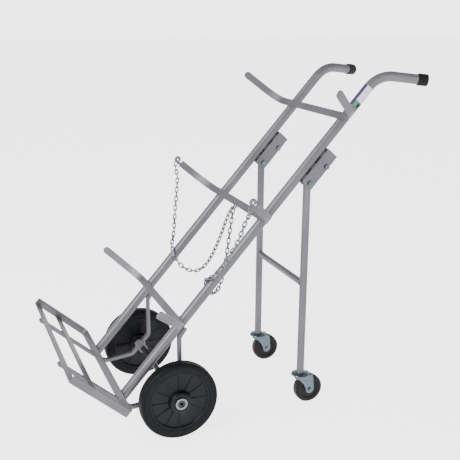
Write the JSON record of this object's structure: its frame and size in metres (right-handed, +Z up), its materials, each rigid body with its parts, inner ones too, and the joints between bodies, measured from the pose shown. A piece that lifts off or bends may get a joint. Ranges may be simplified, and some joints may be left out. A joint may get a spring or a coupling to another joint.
{
  "type": "gas cylinder cart",
  "caption": "Leaning hand cart for a pair of gas cylinders, with a slatted foot tray, curved cradles, securing chains, rubber tyred wheels and folding castor legs.",
  "frame": {"origin": "middle of the footprint at floor height, standing on its wheels and castors", "axes": "+Z up, +Y towards the handles, X along the axle"},
  "size_m": [0.702, 1.2178, 1.1225],
  "materials": {
    "grey_paint": "satin grey",
    "black_rubber": "matte black",
    "tyre_rubber": "matte black",
    "wheel_plastic": "moulded black",
    "zinc_plate": "zinc plated",
    "bright_steel": "turned",
    "label_vinyl": "printed film"
  },
  "bodies": {
    "frame": {"tray_rim": "grey_paint", "tray_front_bar": "grey_paint", "tray_middle_bar": "grey_paint", "cradle_top": "grey_paint", "cradle_middle": "grey_paint", "cradle_bottom": "grey_paint", "chain_eye": "grey_paint", "label": "label_vinyl", "rail_left": "grey_paint", "grip_cap_left": "black_rubber", "chain_hook_left": "grey_paint", "leg_channel_left": "grey_paint", "pivot_left_bolt": "zinc_plate", "pivot_left_nut": "zinc_plate", "lock_left_bolt": "zinc_plate", "lock_left_nut": "zinc_plate", "rail_right": "grey_paint", "grip_cap_right": "black_rubber", "chain_hook_right": "grey_paint", "leg_channel_right": "grey_paint", "pivot_right_bolt": "zinc_plate", "pivot_right_nut": "zinc_plate", "lock_right_bolt": "zinc_plate", "lock_right_nut": "zinc_plate", "axle": "bright_steel", "runner_stay_left": "grey_paint", "axle_lug_left": "grey_paint", "axle_spacer_left": "bright_steel", "axle_clip_left": "bright_steel", "chain_left": "zinc_plate", "runner_stay_right": "grey_paint", "axle_lug_right": "grey_paint", "axle_spacer_right": "bright_steel", "axle_clip_right": "bright_steel", "chain_right": "zinc_plate"},
    "wheel_left": {"tyre_left": "tyre_rubber", "wheel_centre_left": "wheel_plastic", "hub_bush_left": "bright_steel"},
    "wheel_right": {"tyre_right": "tyre_rubber", "wheel_centre_right": "wheel_plastic", "hub_bush_right": "bright_steel"},
    "leg_frame": {"leg_left": "grey_paint", "castor_cup_left": "zinc_plate", "leg_right": "grey_paint", "castor_cup_right": "zinc_plate", "leg_brace": "grey_paint"},
    "fork_left": {"castor_fork_left": "zinc_plate", "castor_left_bolt": "zinc_plate", "castor_left_nut": "zinc_plate"},
    "fork_right": {"castor_fork_right": "zinc_plate", "castor_right_bolt": "zinc_plate", "castor_right_nut": "zinc_plate"},
    "castor_left": {"castor_wheel_left": "black_rubber"},
    "castor_right": {"castor_wheel_right": "black_rubber"}
  },
  "joints": [
    {"name": "wheel_spin_left", "type": "hinge", "parent": "frame", "child": "wheel_left", "pos_m": [-0.234, -0.24932, 0.127], "axis": [1, 0, 0], "continuous": true},
    {"name": "wheel_spin_right", "type": "hinge", "parent": "frame", "child": "wheel_right", "pos_m": [0.234, -0.24932, 0.127], "axis": [1, 0, 0], "continuous": true},
    {"name": "leg_fold", "type": "hinge", "parent": "frame", "child": "leg_frame", "pos_m": [0, 0.20972, 0.77979], "axis": [-1, 0, 0], "range_deg": [0, 24]},
    {"name": "fork_swivel_left", "type": "hinge", "parent": "leg_frame", "child": "fork_left", "pos_m": [-0.178, 0.20972, 0.1], "axis": [0, 0, 1], "continuous": true},
    {"name": "castor_spin_left", "type": "hinge", "parent": "fork_left", "child": "castor_left", "pos_m": [-0.178, 0.23972, 0.05], "axis": [1, 0, 0], "continuous": true},
    {"name": "fork_swivel_right", "type": "hinge", "parent": "leg_frame", "child": "fork_right", "pos_m": [0.178, 0.20972, 0.1], "axis": [0, 0, 1], "continuous": true},
    {"name": "castor_spin_right", "type": "hinge", "parent": "fork_right", "child": "castor_right", "pos_m": [0.178, 0.23972, 0.05], "axis": [1, 0, 0], "continuous": true}
  ]
}
